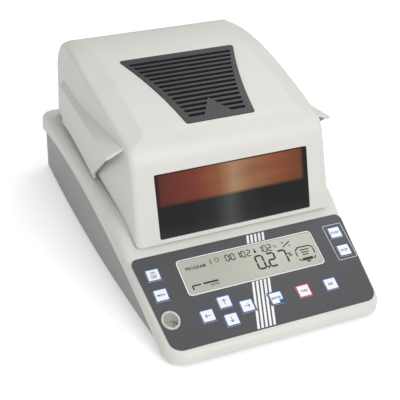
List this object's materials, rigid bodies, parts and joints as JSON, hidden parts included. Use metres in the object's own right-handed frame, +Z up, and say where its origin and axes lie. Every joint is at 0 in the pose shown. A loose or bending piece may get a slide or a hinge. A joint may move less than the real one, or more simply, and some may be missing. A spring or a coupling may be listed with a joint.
{
  "type": "moisture analyzer",
  "caption": "Bench moisture analyzer: lidded halogen drying hood over a draft shield and sample pan on a weighing base with a sloped key panel.",
  "frame": {"origin": "middle of the base at the standing surface", "axes": "+X to the right as seen from the front, +Y to the back, +Z up"},
  "size_m": [0.2018, 0.336, 0.1565],
  "materials": {
    "housing_grey": "satin light grey moulded housing",
    "panel_grey": "matt dark grey membrane panel",
    "key_white": "satin white key cap",
    "display_lens": "clear lens over a grey-green display",
    "display_grey": "grey-green display cell",
    "window_glass": "dark tinted toughened glass",
    "clear_glass": "clear heat resistant glass",
    "quartz_red": "reddish halogen lamp tube",
    "black_plastic": "matt black heat resistant plastic",
    "rubber_black": "soft black rubber",
    "foot_plastic": "black plastic foot",
    "board_green": "green circuit board",
    "steel_bright": "brushed stainless steel",
    "aluminium_bright": "bright aluminium sheet and castings"
  },
  "bodies": {
    "base": {"upper_case": "housing_grey", "lower_case": "housing_grey", "control_panel": "panel_grey", "display_window": "display_lens", "display_module": "display_grey", "keypad_mat": "rubber_black", "control_board": "board_green", "level_housing": "steel_bright", "level_vial": "clear_glass", "chassis_plate": "aluminium_bright", "load_cell": "aluminium_bright", "pan_carrier": "steel_bright", "chamber_tray": "steel_bright", "main_board": "board_green", "power_supply": "board_green", "mains_inlet": "black_plastic", "serial_port": "steel_bright", "hinge_bracket_left": "steel_bright", "hinge_bracket_right": "steel_bright", "hinge_pins": "steel_bright", "hood_buffers": "rubber_black", "case_screws": "steel_bright", "front_feet": "rubber_black"},
    "hood": {"hood_shell": "housing_grey", "hood_frame": "steel_bright", "window_glass": "window_glass", "window_frame": "black_plastic", "vent_grille": "black_plastic", "reflector": "aluminium_bright", "heater_tube_front": "quartz_red", "heater_tube_rear": "quartz_red", "lamp_holders": "black_plastic", "guard_glass": "clear_glass", "guard_frame": "steel_bright", "temperature_probe": "steel_bright", "hood_arm_left": "steel_bright", "hood_arm_right": "steel_bright", "frame_screws": "steel_bright"},
    "key_on_off": {"key_on_off": "key_white"},
    "key_menu": {"key_menu": "key_white"},
    "key_up": {"key_up": "key_white"},
    "key_left": {"key_left": "key_white"},
    "key_right": {"key_right": "key_white"},
    "key_down": {"key_down": "key_white"},
    "key_enter": {"key_enter": "key_white"},
    "key_tare": {"key_tare": "key_white"},
    "key_escape": {"key_escape": "key_white"},
    "key_start": {"key_start": "key_white"},
    "key_stop": {"key_stop": "key_white"},
    "fuse_drawer": {"fuse_drawer": "housing_grey", "fuses": "clear_glass"},
    "rear_foot_left": {"rear_foot_left": "foot_plastic", "foot_nut_left": "foot_plastic"},
    "rear_foot_right": {"rear_foot_right": "foot_plastic", "foot_nut_right": "foot_plastic"},
    "draft_shield": {"draft_shield": "steel_bright"},
    "pan_support": {"pan_support": "steel_bright"},
    "pan_handler": {"pan_handler": "steel_bright"},
    "sample_pan": {"sample_pan": "aluminium_bright"}
  },
  "joints": [
    {"name": "hood_hinge", "type": "hinge", "parent": "base", "child": "hood", "pos_m": [0, 0.158, 0.071], "axis": [-1, 0, 0], "range_deg": [0, 78]},
    {"name": "key_on_off_press", "type": "slide", "parent": "base", "child": "key_on_off", "axis": [0, 0.3976, -0.9176], "range_m": [0, 0.0005], "stiffness_N_per_m": 400},
    {"name": "key_menu_press", "type": "slide", "parent": "base", "child": "key_menu", "axis": [0, 0.3976, -0.9176], "range_m": [0, 0.0005], "stiffness_N_per_m": 400},
    {"name": "key_up_press", "type": "slide", "parent": "base", "child": "key_up", "axis": [0, 0.3976, -0.9176], "range_m": [0, 0.0005], "stiffness_N_per_m": 400},
    {"name": "key_left_press", "type": "slide", "parent": "base", "child": "key_left", "axis": [0, 0.3976, -0.9176], "range_m": [0, 0.0005], "stiffness_N_per_m": 400},
    {"name": "key_right_press", "type": "slide", "parent": "base", "child": "key_right", "axis": [0, 0.3976, -0.9176], "range_m": [0, 0.0005], "stiffness_N_per_m": 400},
    {"name": "key_down_press", "type": "slide", "parent": "base", "child": "key_down", "axis": [0, 0.3976, -0.9176], "range_m": [0, 0.0005], "stiffness_N_per_m": 400},
    {"name": "key_enter_press", "type": "slide", "parent": "base", "child": "key_enter", "axis": [0, 0.3976, -0.9176], "range_m": [0, 0.0005], "stiffness_N_per_m": 400},
    {"name": "key_tare_press", "type": "slide", "parent": "base", "child": "key_tare", "axis": [0, 0.3976, -0.9176], "range_m": [0, 0.0005], "stiffness_N_per_m": 400},
    {"name": "key_escape_press", "type": "slide", "parent": "base", "child": "key_escape", "axis": [0, 0.3976, -0.9176], "range_m": [0, 0.0005], "stiffness_N_per_m": 400},
    {"name": "key_start_press", "type": "slide", "parent": "base", "child": "key_start", "axis": [0, 0.3976, -0.9176], "range_m": [0, 0.0005], "stiffness_N_per_m": 400},
    {"name": "key_stop_press", "type": "slide", "parent": "base", "child": "key_stop", "axis": [0, 0.3976, -0.9176], "range_m": [0, 0.0005], "stiffness_N_per_m": 400},
    {"name": "fuse_drawer_slide", "type": "slide", "parent": "base", "child": "fuse_drawer", "axis": [0, 1, 0], "range_m": [0, 0.018]},
    {"name": "rear_foot_left_slide", "type": "slide", "parent": "base", "child": "rear_foot_left", "axis": [0, 0, -1], "range_m": [0, 0.004]},
    {"name": "rear_foot_right_slide", "type": "slide", "parent": "base", "child": "rear_foot_right", "axis": [0, 0, -1], "range_m": [0, 0.004]},
    {"name": "draft_shield_lift", "type": "slide", "parent": "base", "child": "draft_shield", "axis": [0, 0, 1], "range_m": [0, 0.004]},
    {"name": "pan_support_lift", "type": "slide", "parent": "draft_shield", "child": "pan_support", "axis": [0, 0, 1], "range_m": [0, 0.004]},
    {"name": "pan_handler_lift", "type": "slide", "parent": "pan_support", "child": "pan_handler", "axis": [0, 0, 1], "range_m": [0, 0.004]},
    {"name": "sample_pan_lift", "type": "slide", "parent": "pan_handler", "child": "sample_pan", "axis": [0, 0, 1], "range_m": [0, 0.004]}
  ]
}
